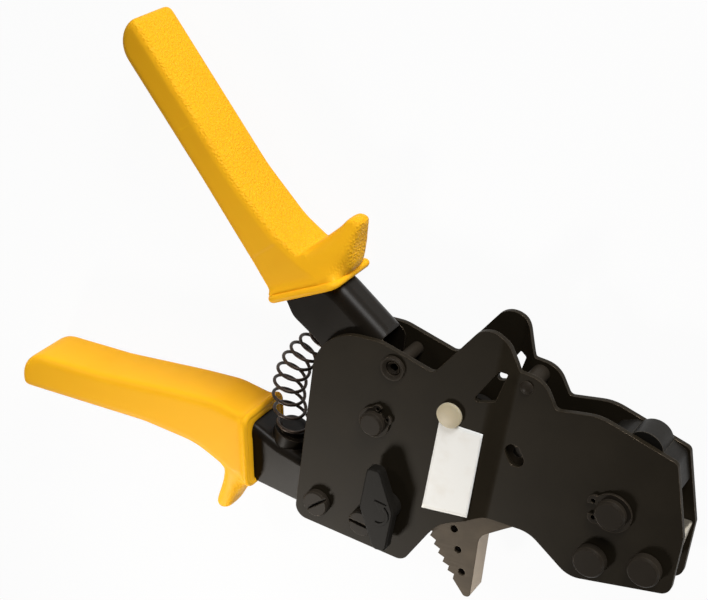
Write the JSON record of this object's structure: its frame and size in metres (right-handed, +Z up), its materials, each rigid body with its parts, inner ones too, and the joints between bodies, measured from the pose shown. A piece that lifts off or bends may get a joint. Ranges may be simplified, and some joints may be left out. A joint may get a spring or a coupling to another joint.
{
  "type": "pex cinch clamp tool",
  "caption": "One-hand ratchet clamp tool: two joggled side plates carry a toothed jaw lever, a fixed jaw, a sprung folded handle, a release knob and a small lamp.",
  "frame": {"origin": "on the handle pivot axis, at the flat rear head of the pivot pin, on the surface the tool lies on", "axes": "+X along the fixed handle towards the jaws, +Y towards the moving handle, +Z up out of the front side plate"},
  "size_m": [0.2822, 0.2041, 0.0305],
  "materials": {
    "black_plate": "satin black-brown oxide on pressed sheet steel",
    "black_steel": "black oxide steel",
    "spring_steel": "dark oiled spring steel",
    "tool_steel": "dull bare tool steel",
    "bright_steel": "bright steel",
    "yellow_grip": "yellow moulded plastic, pebbled on its faces",
    "black_plastic": "black moulded plastic",
    "clear_lens": "cloudy clear plastic",
    "white_plastic": "white plastic"
  },
  "bodies": {
    "frame": {"front_side_plate": "black_plate", "rear_side_plate": "black_plate", "fixed_handle_channel": "black_steel", "fixed_handle_grip": "yellow_grip", "handle_screws": "black_steel", "handle_screw_nuts": "black_steel", "handle_pivot_pin": "black_steel", "handle_pivot_circlip": "spring_steel", "handle_spring": "spring_steel", "jaw_pivot_pin": "black_steel", "jaw_pivot_circlip": "spring_steel", "fixed_jaw": "tool_steel", "stop_pins": "black_steel", "stop_pin_circlips": "spring_steel", "stop_pin_sleeves": "black_steel", "holding_pawl_spring": "spring_steel", "stop_rivet": "black_steel", "spacer_rivet": "black_steel", "spacer_rivet_sleeve": "black_steel", "light_lens": "clear_lens", "lamp_diode": "white_plastic", "battery_tray": "black_plastic", "coin_cells": "bright_steel", "jaw_return_spring": "spring_steel"},
    "moving_handle": {"moving_handle_channel": "black_steel", "moving_handle_grip": "yellow_grip", "drive_pawl_pin": "bright_steel"},
    "drive_pawl": {"drive_pawl": "tool_steel", "drive_pawl_spring": "spring_steel"},
    "jaw_lever": {"jaw_lever": "tool_steel", "return_spring_pin": "bright_steel"},
    "release": {"release_shaft": "black_steel", "holding_pawl": "tool_steel", "release_knob": "black_plastic"},
    "battery_cover": {"battery_cover": "black_plastic"}
  },
  "joints": [
    {"name": "handle_squeeze", "type": "hinge", "parent": "frame", "child": "moving_handle", "pos_m": [0, 0, 0.0125], "axis": [0, 0, 1], "range_deg": [0, 34], "stiffness_Nm_per_rad": 2, "springref_deg": -8.59, "deforming": ["handle_spring"]},
    {"name": "drive_pawl_swing", "type": "hinge", "parent": "moving_handle", "child": "drive_pawl", "pos_m": [-0.006, -0.0125, 0.0125], "axis": [0, 0, 1], "range_deg": [-58, 1], "deforming": ["drive_pawl_spring"]},
    {"name": "jaw_close", "type": "hinge", "parent": "frame", "child": "jaw_lever", "pos_m": [0.0916, -0.0127, 0.0125], "axis": [0, 0, 1], "range_deg": [0, 27.57], "stiffness_Nm_per_rad": 0.6, "springref_deg": -5.73, "deforming": ["jaw_return_spring"]},
    {"name": "release_turn", "type": "hinge", "parent": "frame", "child": "release", "pos_m": [0.006, -0.0328, 0.0125], "axis": [0, 0, 1], "range_deg": [-18, 10], "stiffness_Nm_per_rad": 0.05, "deforming": ["holding_pawl_spring"]},
    {"name": "battery_cover_turn", "type": "hinge", "parent": "frame", "child": "battery_cover", "pos_m": [0.033, 0.003, 0.001], "axis": [0, 0, 1], "range_deg": [0, 60]}
  ],
  "couplings": [
    {"joint": "drive_pawl_swing", "follows": "handle_squeeze", "ratio": -1.69}
  ]
}
